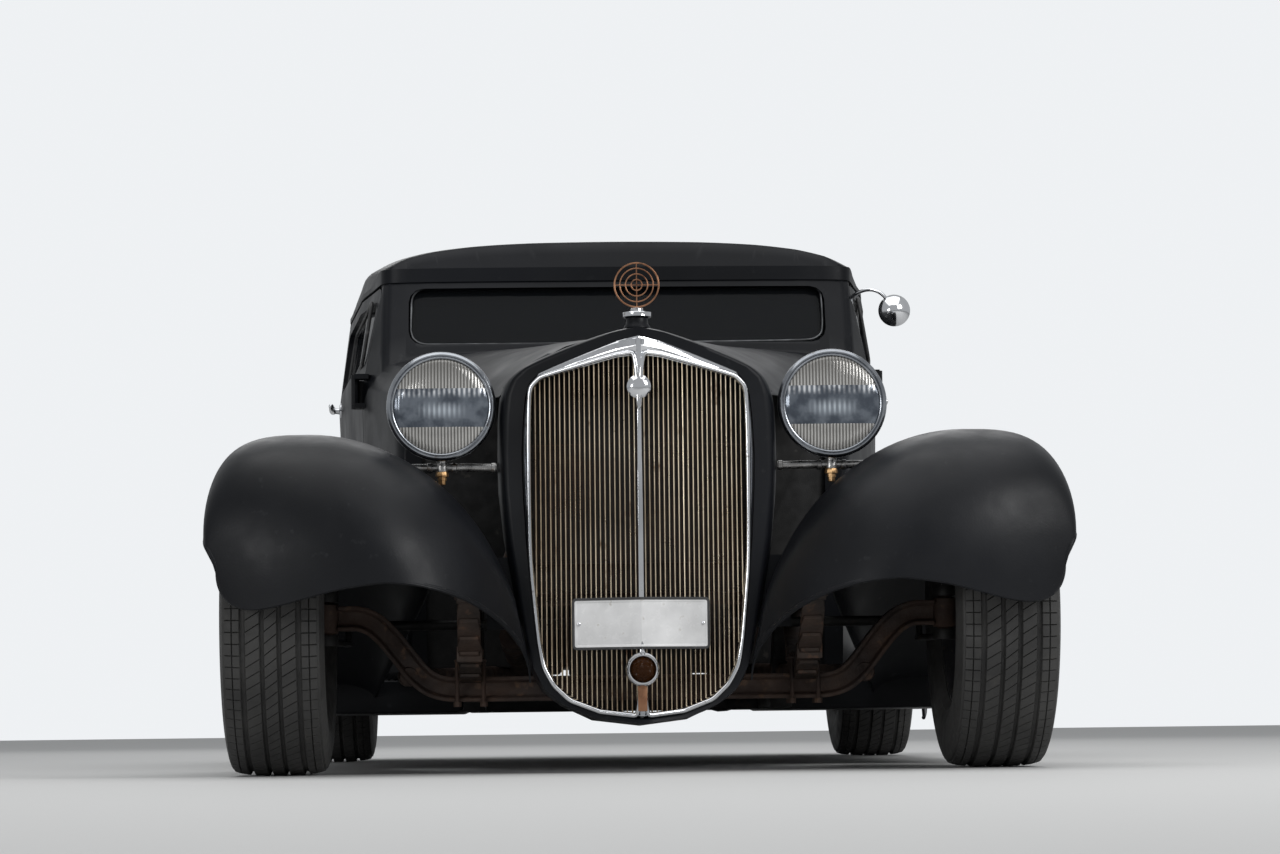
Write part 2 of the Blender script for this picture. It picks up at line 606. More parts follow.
def makeTyre(settings):
    crown = settings["crown"]
    base, height = [], settings["blockHeight"]
    for number, (near, far) in enumerate(settings["ribEdges"]):
        if number:
            before = settings["ribEdges"][number - 1][1]
            floor = readCurve(crown, abs((before + near) / 2)) - settings["grooveDepth"]
            base += [(before + 0.0016, floor), (near - 0.0016, floor)]
        steps = 2 if number in (0, 4) else 1
        for step in range(steps + 1):
            across = near + (far - near) * step / steps
            base.append((across, readCurve(crown, abs(across)) - height))
    wall = settings["sidewall"]
    inside = settings["inside"]
    loop = [(-across, out) for across, out in reversed(wall)] + base + wall
    loop += inside + [(-across, out) for across, out in reversed(inside)]
    tyre = spinProfile("treadTyre", loop, settings["blocks"], True)
    bpy.ops.object.mode_set(mode="EDIT")
    bpy.ops.mesh.select_mode(type="FACE")
    work = bmesh.from_edit_mesh(tyre.data)
    for face in work.faces:
        middle = face.calc_center_median()
        out = math.hypot(middle.y, middle.z)
        onRib = any(near < middle.x < far for near, far in settings["ribEdges"])
        top = readCurve(crown, abs(middle.x)) - height
        face.select = onRib and abs(out - top) < 0.0012 and out > 0.30
    bmesh.update_edit_mesh(tyre.data)
    bpy.ops.mesh.inset(thickness=settings["sipeWidth"], depth=height, use_individual=True, use_even_offset=True)
    work = bmesh.from_edit_mesh(tyre.data)
    for vertex in work.verts:
        # The sipes of the middle ribs slant, those of the shoulders run almost straight across
        out = math.hypot(vertex.co.y, vertex.co.z)
        if out > 0.312:
            across = vertex.co.x
            bend = -min(max(across, -0.045), 0.045) * settings["sipeSlant"]
            vertex.co = Matrix.Rotation(bend, 3, "X") @ vertex.co
    bmesh.update_edit_mesh(tyre.data)
    bpy.ops.mesh.select_mode(type="VERT")
    closeMesh()
    shadeBy(tyre, 28)
    return tyre


# Wheels: a pressed rim and a dished disc with oval vents, five nuts and a domed cap
wheelSettings = {
    "steps": 72, "vents": 10, "ventOut": 0.140, "ventSize": (0.017, 0.011), "nutCircle": 0.0570, "nuts": 5,
    "rim": pairs(82.5, 191.5, 82.5, 186.5, 80.5, 183.5, 74, 181.5, 60, 180, 45, 176.5, 35, 170.5, 24, 169),
    "disc": pairs(0, 164, 3.5, 160, 6, 150, 8.5, 130, 8.5, 115, 3, 98, 1, 86, 1, 46, 3, 42, 3, 0),
    "discBack": pairs(-4, 0, -4, 86, -3, 98, 2, 115, 2, 130, -1, 150, -5, 160, -8, 166),
    "barrel": pairs(-15, 166, -45, 167, -56, 174, -70, 176, -78, 180, -82.5, 186, -82.5, 191.5, -78, 191.5, -72, 186,
                    -56, 180, -45, 173, 20, 173, 35, 176.5, 45, 182, 60, 186, 74, 187, 78, 191.5),
    "cap": pairs(4, 43, 7.5, 43.5, 10, 42, 16, 40.5, 21.5, 38, 24.5, 34, 25, 25, 26.5, 22.5, 29.5, 15, 30.5, 7, 30.8,
                 0),
}


def moveOut(points, by):
    return [(across + by, out) for across, out in points]


def makeWheel(settings, discOut):
    disc = moveOut(settings["disc"] + settings["discBack"], discOut)
    wheel = spinProfile("pressedWheel", settings["rim"] + disc + settings["barrel"], settings["steps"], True)
    cutters = []
    long, short = settings["ventSize"]
    for number in range(settings["vents"]):
        turn = 2 * math.pi * number / settings["vents"]
        bpy.ops.mesh.primitive_cylinder_add(vertices=24, radius=1, depth=0.06)
        cutter = bpy.context.object
        cutter.data.transform(Matrix.Rotation(turn, 4, "X") @ Matrix.Translation((discOut, 0, settings["ventOut"]))
                              @ Matrix.Rotation(math.pi / 2, 4, "Y") @ Matrix.Diagonal((short, long, 1, 1)))
        cutters.append(cutter)
    for cutter in cutters:
        cutAway(wheel, cutter)
    soften(wheel, 0.0012, 2, 50)
    shadeBy(wheel, 32)
    return wheel


def makeNuts(settings, discOut):
    nuts = []
    for number in range(settings["nuts"]):
        bpy.ops.mesh.primitive_cylinder_add(vertices=6, radius=0.0105, depth=0.014)
        nut = bpy.context.object
        openMesh(nut)
        bpy.ops.mesh.select_mode(type="FACE")
        bpy.ops.mesh.select_all(action="DESELECT")
        work = bmesh.from_edit_mesh(nut.data)
        for face in work.faces:
            face.select = face.normal.z > 0.9
        bmesh.update_edit_mesh(nut.data)
        bpy.ops.mesh.inset(thickness=0.0025, depth=0.0012)
        bpy.ops.mesh.inset(thickness=0.0020, depth=-0.0015)
        bpy.ops.mesh.select_mode(type="VERT")
        closeMesh()
        turn = 2 * math.pi * (number + 0.5) / settings["nuts"]
        nut.data.transform(Matrix.Rotation(turn, 4, "X") @ Matrix.Rotation(math.pi / 2, 4, "Y")
                           @ Matrix.Translation((-settings["nutCircle"], 0, discOut + 0.0070)))
        nuts.append(nut)
    return joinAll(nuts, "nuts")


def putOnAxle(item, name, placeAt, finish, node, body="car"):
    # Turns a copy to the wheel's side and moves it there, in its mesh
    copy = addItem(name, item.data.copy())
    turn = Matrix.Identity(4) if placeAt[0] > 0 else Matrix.Rotation(math.pi, 4, "Z")
    copy.data.transform(Matrix.Translation((placeAt[0], placeAt[1], axleHeight)) @ turn)
    place(copy, finish, node, body)


def fitWheels():
    tyre = makeTyre(tyreSettings)
    for tag, placeAt in wheelPlaces.items():
        discOut = 0.0825 / 4 - placeAt[2] / 4
        body = frame["nodes"]["wheel_" + tag]["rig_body"]
        wheel = makeWheel(wheelSettings, discOut)
        nuts = makeNuts(wheelSettings, discOut)
        cap = spinProfile("wheelCap", moveOut(wheelSettings["cap"], discOut), 48, False)
        shadeBy(cap, 40)
        putOnAxle(tyre, "treaded_" + tag, placeAt, "tyreRubber", "tyre_" + tag)
        putOnAxle(wheel, "pressed_" + tag, placeAt, "wheelSteel", "wheel_" + tag)
        putOnAxle(nuts, "nuts_" + tag, placeAt, "chrome", None, body)
        putOnAxle(cap, "cap_" + tag, placeAt, "chrome", None, body)
        for item in (wheel, nuts, cap):
            bpy.data.objects.remove(item)
    bpy.data.objects.remove(tyre)


fitWheels()
print("stage: wheels")

# The grille leans back from its fold by this much for each metre out from the middle
grilleSettings = {"nose": -1.955, "slope": 0.325, "pitch": 0.0102, "rodRadius": 0.00142, "setBack": 0.0085,
                  "screenPitch": 0.0062, "screenWire": 0.0007, "screenBack": 0.024, "tieHeights": (0.347, 0.679)}


def tubeAlong(name, points, radius, sides=10, closed=False, smooth=True):
    curve = bpy.data.curves.new(name, "CURVE")
    curve.dimensions = "3D"
    curve.bevel_depth = radius
    curve.bevel_resolution = max(sides // 4, 1)
    curve.use_fill_caps = not closed
    line = curve.splines.new("NURBS" if smooth and len(points) > 3 else "POLY")
    line.points.add(len(points) - 1)
    for spot, point in zip(line.points, points):
        spot.co = (*point, 1)
    if line.type == "NURBS":
        line.order_u = 4
        line.use_endpoint_u = not closed
        line.resolution_u = 5
    line.use_cyclic_u = closed
    item = addItem(name, curve)
    selectOnly(item)
    bpy.ops.object.convert(target="MESH")
    shadeBy(item, 45)
    return item


def spinOn(name, points, steps, centre, aim, closed=False, smooth=40):
    # As spinProfile, with its across direction turned to aim and its middle moved to centre
    item = spinProfile(name, points, steps, closed)
    turn = Vector((1, 0, 0)).rotation_difference(Vector(aim)).to_matrix().to_4x4()
    item.data.transform(Matrix.Translation(centre) @ turn)
    shadeBy(item, smooth)
    return item


def roundedBox(name, low, high, edge, segments=2):
    bpy.ops.mesh.primitive_cube_add(size=1)
    item = bpy.context.object
    item.name = name
    size = [b - a for a, b in zip(low, high)]
    middle = [(a + b) / 2 for a, b in zip(low, high)]
    item.data.transform(Matrix.Translation(middle) @ Matrix.Diagonal((*size, 1)))
    openMesh(item)
    bpy.ops.mesh.bevel(offset=edge, segments=segments, affect="EDGES")
    closeMesh()
    shadeBy(item, 35)
    return item


def readOutline(node):
    # Lowest and highest point of the node at each distance from the middle
    spans = {}
    for vertex in frame["nodes"][node].data.vertices:
        key = round(abs(vertex.co.x), 4)
        low, high = spans.get(key, (9, -9))
        spans[key] = (min(low, vertex.co.z), max(high, vertex.co.z))
    return sorted((key, *span) for key, span in spans.items() if span[1] - span[0] > 0.3)


def outlineAt(outline, across):
    return [readCurve([(row[0], row[k]) for row in outline], across) for k in (1, 2)]


def makeGrille(settings):
    outline = readOutline("grille_bars")
    reach = outline[-1][0]
    nose, slope = settings["nose"], settings["slope"]
    rods, wires = [], []
    for number in range(1, int(reach / settings["pitch"]) + 1):
        across = number * settings["pitch"]
        low, high = outlineAt(outline, across)
        y = nose + settings["setBack"] + across * slope
        for x in (-across, across):
            rods.append(tubeAlong("rod", [(x, y, low - 0.001), (x, y, high + 0.001)], settings["rodRadius"], 8))
    place(joinAll(rods, "grilleRods"), "agedNickel", "grille_bars")

    def addFold(wide, back, height, radius, around):
        # A wire across the whole grille, folded at the middle
        wires.append(tubeAlong("fold", [(-wide, back + wide * slope, height), (0, back, height),
                                        (wide, back + wide * slope, height)], radius, around, False, False))

    for height in settings["tieHeights"]:
        addFold(reach, nose + settings["setBack"] + 0.0035, height, 0.0013, 6)
    back = nose + settings["screenBack"]
    count = int(reach / settings["screenPitch"])
    for number in range(-count, count + 1):
        across = number * settings["screenPitch"]
        low, high = outlineAt(outline, abs(across))
        y = back + abs(across) * slope
        wires.append(tubeAlong("wire", [(across, y, low), (across, y, high)], settings["screenWire"], 4))
    height = outline[0][1] + 0.004
    while height < outline[0][2]:
        inside = [across for across, low, high in outline if low <= height <= high]
        if inside:
            addFold(max(inside), back, height, settings["screenWire"], 4)
        height += settings["screenPitch"]
    place(joinAll(wires, "grilleScreen"), "screenWire")


def makeSurroundBead(grow, radius):
    # The bright roll that stands on the surround and catches the light
    outline = readOutline("grille_bars")
    half = [(across, high) for across, low, high in outline] + [(across, low) for across, low, high in outline[::-1]]
    loop = half + [(-across, height) for across, height in reversed(half)][1:-1]
    flat = [Vector((a, b)) for k, (a, b) in enumerate(loop) if (Vector(loop[k - 1]) - Vector((a, b))).length > 0.0005]
    middle = sum(flat, Vector((0, 0))) / len(flat)
    path = []
    for k, spot in enumerate(flat):
        along = flat[(k + 1) % len(flat)] - flat[k - 1]
        out = Vector((along.y, -along.x)).normalized()
        if out.dot(spot - middle) < 0:
            out = -out
        spot = spot + out * grow
        path.append((spot.x, grilleSettings["nose"] - radius * 0.9 + abs(spot.x) * grilleSettings["slope"], spot.y))
    place(tubeAlong("surroundBead", path, radius, 12, True), "chrome")


def plateOutline(half, low, high, corner, inset):
    points = []
    for centreX, centreZ, start in ((half - corner, high - corner, 90), (half - corner, low + corner, 0)):
        for step in range(7):
            turn = math.radians(start - 15 * step)
            points.append((centreX + (corner - inset) * math.cos(turn), centreZ + (corner - inset) * math.sin(turn)))
    return [(0, high - inset)] + points + [(0, low + inset)]


def makePlate():
    # A folded enamel sheet with an embossed border and a thin black rim; it carries no signs
    settings = {"half": 0.1425, "low": 0.2525, "high": 0.3595, "corner": 0.010, "front": -1.9655, "slope": 0.30}
    rings = [(0.0, 0.0026, 1), (0.0, 0.0002, 1), (0.0010, -0.0003, 1), (0.0056, -0.0003, 1), (0.0064, 0.0004, 0),
             (0.0090, 0.0006, 0), (0.0105, 0.0014, 0)]
    work = bmesh.new()
    for side in (-1, 1):
        rows = []
        for inset, back, rim in rings:
            front = settings["front"] + back
            right = plateOutline(settings["half"], settings["low"], settings["high"], settings["corner"], inset)
            rows.append([work.verts.new((side * x, front + settings["slope"] * x, z)) for x, z in right])
        for (near, far), (inset, back, rim) in zip(zip(rows, rows[1:]), rings[1:]):
            for k in range(len(near) - 1):
                face = work.faces.new((near[k], near[k + 1], far[k + 1], far[k]))
                face.material_index = rim
        work.faces.new(rows[-1])
        cover = work.faces.new(rows[0])
        cover.material_index = 1
    bmesh.ops.remove_doubles(work, verts=work.verts, dist=0.00001)
    plate = fromWork("foldedPlate", work)
    rimFaces = [face.index for face in plate.data.polygons if face.material_index == 1]
    place(plate, "plateEnamel", "number_plate")
    plate.data.materials.append(finishes["blackRubber"])
    for index in rimFaces:
        plate.data.polygons[index].material_index = 1
    screws = []
    for across in (-0.128, 0.128):
        y = settings["front"] + settings["slope"] * abs(across)
        screws.append(spinOn("screw", pairs(0, 4, 1.2, 3.8, 2.2, 2.6, 2.6, 0), 14,
                             (across, y + 0.0006, 0.306), (0.2 * (-1 if across > 0 else 1), -1, 0)))
    place(joinAll(screws, "plateScrews"), "chrome")


def makePilot():
    centre, aim = (0, -1.962, 0.2105), (0, -1, 0)
    ring = pairs(0, 29, 6, 33.5, 16, 35.2, 30, 35, 38, 33.2, 42.5, 30, 43, 27.5, 40.5, 25.5, 35, 25, 30, 25, 28, 20,
                 27, 0)
    place(spinOn("pilotRing", ring, 40, centre, aim), "chrome", "pilot_lamp")
    glass = pairs(37, 24.8, 41, 22.5, 46, 16.5, 49, 9, 50, 3, 50.2, 0)
    place(spinOn("pilotGlass", glass, 40, centre, aim), "amberGlass")
    core = pairs(28, 19.5, 33, 19, 35, 16.5, 43, 15, 45, 12, 45.5, 0)
    place(spinOn("pilotBulb", core, 6, centre, aim, False, 20), "blackRubber")
    stud = spinOn("stud", pairs(0, 5.2, 3, 5, 5.5, 3.4, 6.2, 0), 16, (0, -1.999, 0.2435), aim)
    place(stud, "chrome")
    strip = roundedBox("pilotStrip", (-0.0095, -1.9685, 0.1255), (0.0095, -1.9640, 0.1790), 0.0012)
    place(strip, "copperBronze")


def makeCap():
    up, spot = (0, 0, 1), (0, -1.895, 0)
    neck = pairs(921.5, 0, 921.5, 28, 926, 27, 930, 23.5, 942, 22.5, 944, 25, 944, 0)
    place(spinOn("capNeck", neck, 36, spot, up), "bodySatin", "radiator_cap")
    flange = pairs(944.2, 0, 944.2, 29, 945.2, 30, 946.2, 29.8, 953, 29.8, 954.5, 28.8, 955.5, 24, 956, 15, 957, 13.5,
                   962, 13, 964, 11, 965.5, 6, 965.5, 0)
    place(spinOn("capFlange", flange, 40, spot, up, False, 30), "chrome")
    wires = []
    for radius, wide in ((0.0478, 0.0032), (0.0362, 0.0024), (0.0244, 0.0024), (0.0126, 0.0024)):
        ring = [(-0.0018, radius), (0.0018, radius), (0.0022, radius - 0.0006), (0.0022, radius - wide + 0.0006),
                (0.0018, radius - wide), (-0.0018, radius - wide), (-0.0022, radius - wide + 0.0006),
                (-0.0022, radius - 0.0006)]
        wires.append(spinOn("ornamentRing", ring, 64, (0, -1.895, 1.0125), (0, -1, 0), True))
    for low, high in (((-0.047, -1.8965, 1.0114), (0.047, -1.8935, 1.0136)),
                      ((-0.0011, -1.8965, 0.9655), (0.0011, -1.8935, 1.0595))):
        wires.append(roundedBox("ornamentWire", low, high, 0.0004, 1))
    place(joinAll(wires, "capOrnament"), "copperBronze")


lampSettings = {"x": 0.41, "y": -1.855, "z": 0.766, "barZ": 0.640, "barY": -1.80}


def makeHeadlamp(tag, side, settings):
    centre, aim = (side * settings["x"], settings["y"], settings["z"]), (0, 1, 0)
    bowl = pairs(20, 108.5, 30, 109.5, 45, 108.5, 75, 102.5, 105, 90.5, 135, 73.5, 160, 54.5, 180, 35, 195, 18, 203.5,
                 6.5, 204.5, 0)
    place(spinOn("lampBowl_" + tag, bowl, 64, centre, aim), "lampSteel", "headlamp_" + tag)
    rim = pairs(6, 98.5, 3.2, 99.2, 1.4, 101, 1, 103, 2.4, 104.4, 2.8, 105.4, 1.2, 106.4, 0.8, 108.8, 3, 112.2, 8.5,
                114.6, 16, 115, 23, 113.6, 24.5, 110.5, 20, 107.5, 10, 104)
    place(spinOn("lampRim_" + tag, rim, 72, centre, aim, True), "lampSteel")
    mirror = pairs(12, 101, 26, 96, 44, 82, 62, 62, 74, 42, 80, 22, 81, 12, 70, 11, 56, 10, 52, 6, 51, 0)
    place(spinOn("lampReflector_" + tag, mirror, 56, centre, aim), "brightReflector")
    lens = pairs(-4.6, 0, -4.5, 20, -4, 40, -3, 60, -1.2, 80, 1.6, 94, 5.8, 100.5, 8.6, 100.5, 4.8, 94, 2, 80, 0.2,
                 60, -0.8, 40, -1.3, 20, -1.4, 0)
    glass = spinOn("lampLens_" + tag, lens, 72, centre, aim)
    place(glass, "flutedGlass", "headlamp_lens_" + tag)
    parts = []
    z, y = settings["barZ"], settings["barY"]
    inner, middle, outer = side * 0.296, side * settings["x"], side * 0.558
    parts.append(tubeAlong("bar", [(inner, y, z), (inner + side * 0.03, y, z), (middle - side * 0.03, y, z + 0.001),
                                   (middle, y, z + 0.001), (middle + side * 0.04, y, z), (outer, y, z)], 0.0088, 16))
    for spot, wide in ((inner + side * 0.006, 10.6), (middle - side * 0.026, 10.8), (middle + side * 0.026, 10.8)):
        collar = pairs(-5, 6, -5, wide - 1, -4, wide, 4, wide, 5, wide - 1, 5, 6)
        parts.append(spinOn("collar", collar, 24, (spot, y, z), (1, 0, 0), True))
    seat = pairs(-8, 0, -8, 13, 0, 13.5, 8, 11.5, 12, 11, 18, 13.5, 22, 20, 25, 27, 26.5, 0)
    parts.append(spinOn("saddle", seat, 28, (middle, y, z), (0, 0, 1)))
    place(joinAll(parts, "lampBar_" + tag), "wornChrome")
    nut = pairs(-36, 0, -36, 6, -34.5, 7.4, -27, 7.8, -26.5, 9.5, -19, 9.8, -18.5, 13.5, -15, 14, -8.5, 12.5, -6, 0)
    place(spinOn("lampBolt_" + tag, nut, 8, (middle, y, z), (0, 0, 1), False, 25), "amberBrass")


makeGrille(grilleSettings)
makeSurroundBead(0.0065, 0.0052)
makePlate()
makePilot()
makeCap()
for tag, side in sides:
    makeHeadlamp(tag, side, lampSettings)
print("stage: front")

# Nodes whose shape is right are copied, their flat faces joined and their edges softened: finish, edge, angle
softenedNodes = {
    "frame": ("darkSteel", 0.004, 50), "rear_axle": ("darkSteel", 0.003, 50),
    "knuckle_left": ("darkSteel", 0.002, 50), "knuckle_right": ("darkSteel", 0.002, 50),
    "tie_rod": ("darkSteel", 0.0012, 50), "fuel_tank": ("darkSteel", 0.006, 40),
    "floor_pan": ("cabinTrim", 0.003, 50), "dashboard": ("cabinTrim", 0.004, 50),
}


def softenNode(node, finish, edge, angle):
    item = copyNode(node, "softened_" + node)
    openMesh(item)
    bpy.ops.mesh.dissolve_limited(angle_limit=math.radians(1.0))
    closeMesh()
    soften(item, edge, 2, angle)
    shadeBy(item, 40)
    place(item, finish, node)


# The dropped axle: an I-section forged along a smooth curve, with leaf packs clamped on it
axleSettings = {
    "y": -1.675, "halfDepth": 0.0235, "halfHeight": 0.0265, "web": 0.007, "flange": 0.0085,
    "path": pairs(0, 177.5, 120, 177.5, 250, 177.5, 360, 177.5, 405, 179, 440, 190, 470, 215, 500, 253, 530, 290, 560,
                  317, 590, 329, 620, 330, 636, 330),
    "springX": 0.355, "springWidth": 0.048, "springBase": 0.1907, "rise": 0.125, "half": 0.292, "leaves": 6,
    "leafThickness": 0.0072,
}


def sweepSection(name, path, section):
    # The section is (out along Y, up in the curve's plane); the path lies in the plane of X and Z
    rows = []
    for k, spot in enumerate(path):
        before, after = path[max(k - 1, 0)], path[min(k + 1, len(path) - 1)]
        along = (Vector((after[0], 0, after[2])) - Vector((before[0], 0, before[2]))).normalized()
        up = Vector((-along.z, 0, along.x))
        rows.append([Vector(spot) + Vector((0, out, 0)) + up * high for out, high in section])
    return loft(name, rows)


def smoothPath(points, steps):
    # A curve through the points, finer than they are
    out = []
    for k in range(len(points) - 1):
        a, b = points[max(k - 1, 0)], points[k]
        c, d = points[k + 1], points[min(k + 2, len(points) - 1)]
        for step in range(steps):
            t = step / steps
            out.append(tuple(0.5 * (2 * q + (r - p) * t + (2 * p - 5 * q + 4 * r - s) * t * t
                                    + (3 * q - p - 3 * r + s) * t ** 3) for p, q, r, s in zip(a, b, c, d)))
    out.append(tuple(points[-1]))
    return out


def makeAxle(settings):
    y, deep, tall = settings["y"], settings["halfDepth"], settings["halfHeight"]
    web, flange = settings["web"], settings["flange"]
    right = [(x, y, z) for x, z in settings["path"]]
    full = [(-x, spot, z) for x, spot, z in reversed(right[1:])] + right
    section = [(-deep, -tall), (deep, -tall), (deep, -tall + flange), (web, -tall + flange + 0.004),
               (web, tall - flange - 0.004), (deep, tall - flange), (deep, tall), (-deep, tall), (-deep, tall - flange),
               (-web, tall - flange - 0.004), (-web, -tall + flange + 0.004), (-deep, -tall + flange)]
    beam = sweepSection("forgedBeam", smoothPath(full, 4), section)
    soften(beam, 0.003, 2, 35)
    shadeBy(beam, 40)
    parts = [beam]
    for side in (-1, 1):
        boss = pairs(-35, 0, -35, 15, -33.5, 16.5, -32, 17, -31, 24, -29, 26, 29, 26, 31, 24, 32, 17, 33.5, 16.5, 35,
                     15, 35, 0)
        parts.append(spinOn("kingpinBoss", boss, 32, (side * 0.66, y, 0.33), (0, 0, 1)))
    place(joinAll(parts, "forgedAxle"), "rustyIron", "front_axle")


def makeLeafPack(tag, side, settings):
    x, wide, thick = side * settings["springX"], settings["springWidth"] / 2, settings["leafThickness"]
    y, base, rise, half = settings["y"], settings["springBase"], settings["rise"], settings["half"]
    leaves = []
    for number in range(settings["leaves"]):
        share = 0.30 + 0.70 * number / (settings["leaves"] - 1)
        rows = []
        for step in range(-10, 11):
            along = step / 10 * share
            low = base + 0.0005 + number * (thick + 0.0001) + rise * along * along
            tip = 1.0 if abs(step) < 10 else 0.82
            rows.append([(x + out * wide * tip, y + along * half, low + up)
                         for out, up in ((-1, 0), (1, 0), (1, thick), (-1, thick))])
        leaves.append(loft("leaf", rows))
        soften(leaves[-1], 0.0012, 1, 50)
    top = base + settings["leaves"] * (thick + 0.0001)
    for end in (-1, 1):
        eye = pairs(-24.5, 7, -24.5, 13, -23.5, 14.5, 23.5, 14.5, 24.5, 13, 24.5, 7)
        leaves.append(spinOn("eye", eye, 24, (x, y + end * (half - 0.004), base + 0.173), (1, 0, 0), True))
        pin = pairs(-29, 0, -29, 5, -27.5, 6.8, 27.5, 6.8, 29, 5, 29, 0)
        leaves.append(spinOn("pin", pin, 16, (x, y + end * (half - 0.004), base + 0.173), (1, 0, 0)))
        band = y + end * half * 0.52
        high = base + rise * 0.27
        leaves.append(roundedBox("band", (x - wide - 0.003, band - 0.009, high + 0.008),
                                 (x + wide + 0.003, band + 0.009, high + 0.042), 0.003))
    place(joinAll(leaves, "leafPack_" + tag), "springSteel")
    clamps = []
    for end in (-1, 1):
        spot = y + end * 0.032
        near, far = wide + 0.004, wide - 0.002
        loop = [(x + out, spot, z) for out, z in ((-near, 0.1480), (-near, top + 0.002), (-far, top + 0.0105),
                                                  (far, top + 0.0105), (near, top + 0.002), (near, 0.1480))]
        clamps.append(tubeAlong("clamp", loop, 0.0046, 8, False, False))
        for out in (-1, 1):
            nut = pairs(-5, 4.6, -5, 8, 5, 8, 5, 4.6)
            clamps.append(spinOn("nut", nut, 6, (x + out * (wide + 0.004), spot, 0.1455), (0, 0, 1), True, 20))
    clamps.append(roundedBox("pad", (x - wide - 0.010, y - 0.044, top + 0.0005),
                             (x + wide + 0.010, y + 0.044, top + 0.0060), 0.002))
    place(joinAll(clamps, "springClamps_" + tag), "rustyIron")


# Radius rods from the axle back to the frame
def makeRadiusRods():
    rods = []
    for side in (-1, 1):
        path = [(side * 0.490, -1.668, 0.2050), (side * 0.470, -1.600, 0.2080), (side * 0.420, -1.350, 0.2130),
                (side * 0.300, -0.900, 0.2240), (side * 0.225, -0.640, 0.2320)]
        rods.append(tubeAlong("rod", curvedPath(path, 4), 0.0155, 20))
        fork = pairs(-30, 0, -30, 19, -26, 21, 26, 21, 30, 19, 30, 0)
        rods.append(spinOn("fork", fork, 24, (side * 0.488, -1.655, 0.2060), (0.10 * side, 1, 0.02)))
        rods.append(spinOn("ball", pairs(-26, 0, -22, 14, -12, 23, 0, 26, 12, 23, 22, 14, 26,
                                         0), 24, (side * 0.225, -0.640, 0.2350), (0, 1, 0)))
    place(joinAll(rods, "radiusRods"), "rustyIron")


for node, choices in softenedNodes.items():
    softenNode(node, *choices)
makeAxle(axleSettings)
makeRadiusRods()
for tag, side in sides:
    makeLeafPack(tag, side, axleSettings)
print("stage: chassis")

def sweepAround(name, path, section, scales):
    # A section of (out, up) swept on a level path, with out turned away from the path's left
    rows = []
    for k, spot in enumerate(path):
        along = Vector(path[min(k + 1, len(path) - 1)]) - Vector(path[max(k - 1, 0)])
        outward = Vector((along.y, -along.x, 0)).normalized()
        size = scales[k]
        rows.append([Vector(spot) + outward * out * size + Vector((0, 0, up * size)) for out, up in section])
    item = loft(name, rows)
    shadeBy(item, 45)
    return item


# Rolled beads along the fender lips and over the wheel openings
beadSettings = {
    "radius": 0.0056, "rearAxleY": 1.125, "rearArch": 0.350, "rearSide": triples(880, 600, 108, 889, 654, 115, 901,
            722, 137, 911, 845, 238, 915, 994, 403, 915, 1144, 461, 915, 1321, 403, 906, 1525, 302, 883, 1715, 238,
            851, 1851, 209, 814, 1960, 202),
    "rearEnd": triples(814, 1960, 202, 791, 1960, 219, 747, 1960, 223, 648, 1960, 222, 566, 1960, 215, 519, 1960, 202,
                       512, 1960, 194),
}


def edgeOverWheel(spots, skin, side, axleY, axleZ, radius):
    # The lip line, but round the wheel opening where that cuts into it
    inside = [k for k, p in enumerate(spots) if math.hypot(p.y - axleY, p.z - axleZ) < radius + 0.002]
    if not inside:
        return spots
    first, last = spots[inside[0]], spots[inside[-1]]
    start = math.atan2(first.z - axleZ, first.y - axleY)
    end = math.atan2(last.z - axleZ, last.y - axleY)
    start += 2 * math.pi if start < 0 else 0
    arch = []
    for k in range(25):
        turn = start + (end - start) * k / 24
        y, z = axleY + (radius + 0.003) * math.cos(turn), axleZ + (radius + 0.003) * math.sin(turn)
        found = skinPoint(skin, (side * 1.3, y, z), (-side, 0, 0))
        if found and abs(found[0].x) > 0.70:
            arch.append(found[0])
    return spots[:inside[0]] + arch + spots[inside[-1] + 1:]


def makeBeads(tag, side, settings):
    radius = settings["radius"]
    front = panels["fender_front_" + tag]
    rows = splineRows(sheetSettings["sections"], 4)
    lip = [sheetPoint(rows[0], sheetSettings, (k / 20) ** 1.25 if k < 20 else k / 20, side) for k in range(41)]
    lip = [p + Vector((0, radius * 1.05, radius * 0.5)) for p in lip if abs(p.x) > 0.245]
    edge = [sheetPoint(row, sheetSettings, 0.0, side) for row in rows]
    edge = edgeOverWheel(edge, front, side, sheetSettings["axleY"], sheetSettings["axleZ"], sheetSettings["archRadius"])
    edge = [p + Vector((-side * radius * 0.8, 0, 0)) for p in edge]
    tail = curvedPath([(side * x, y, z) for x, y, z in settings["rearSide"]], 4)
    tail = edgeOverWheel(tail, panels["fender_rear_" + tag], side, settings["rearAxleY"], sheetSettings["axleZ"],
                         settings["rearArch"])
    tail = [p + Vector((-side * radius * 0.8, 0, 0)) for p in tail]
    end = [(side * x, y - radius * 0.9, z + radius * 0.5) for x, y, z in settings["rearEnd"]]
    beads = [tubeAlong("bead", path, radius, 8) for path in (lip, edge, tail, curvedPath(end, 4))]
    place(joinAll(beads, "fenderBeads_" + tag), "satinBlack")


# The roof's front edge stands out like a visor and runs on as the drip rails over the doors
roofEdgeSettings = {
    "height": 1.2005, "backY": 1.08,
    "section": pairs(-6, 30, 2, 29, 10, 20, 17, 8, 19.5, 1, 19, -3, 16, -5, 10, -4.5, -6, -4),
}


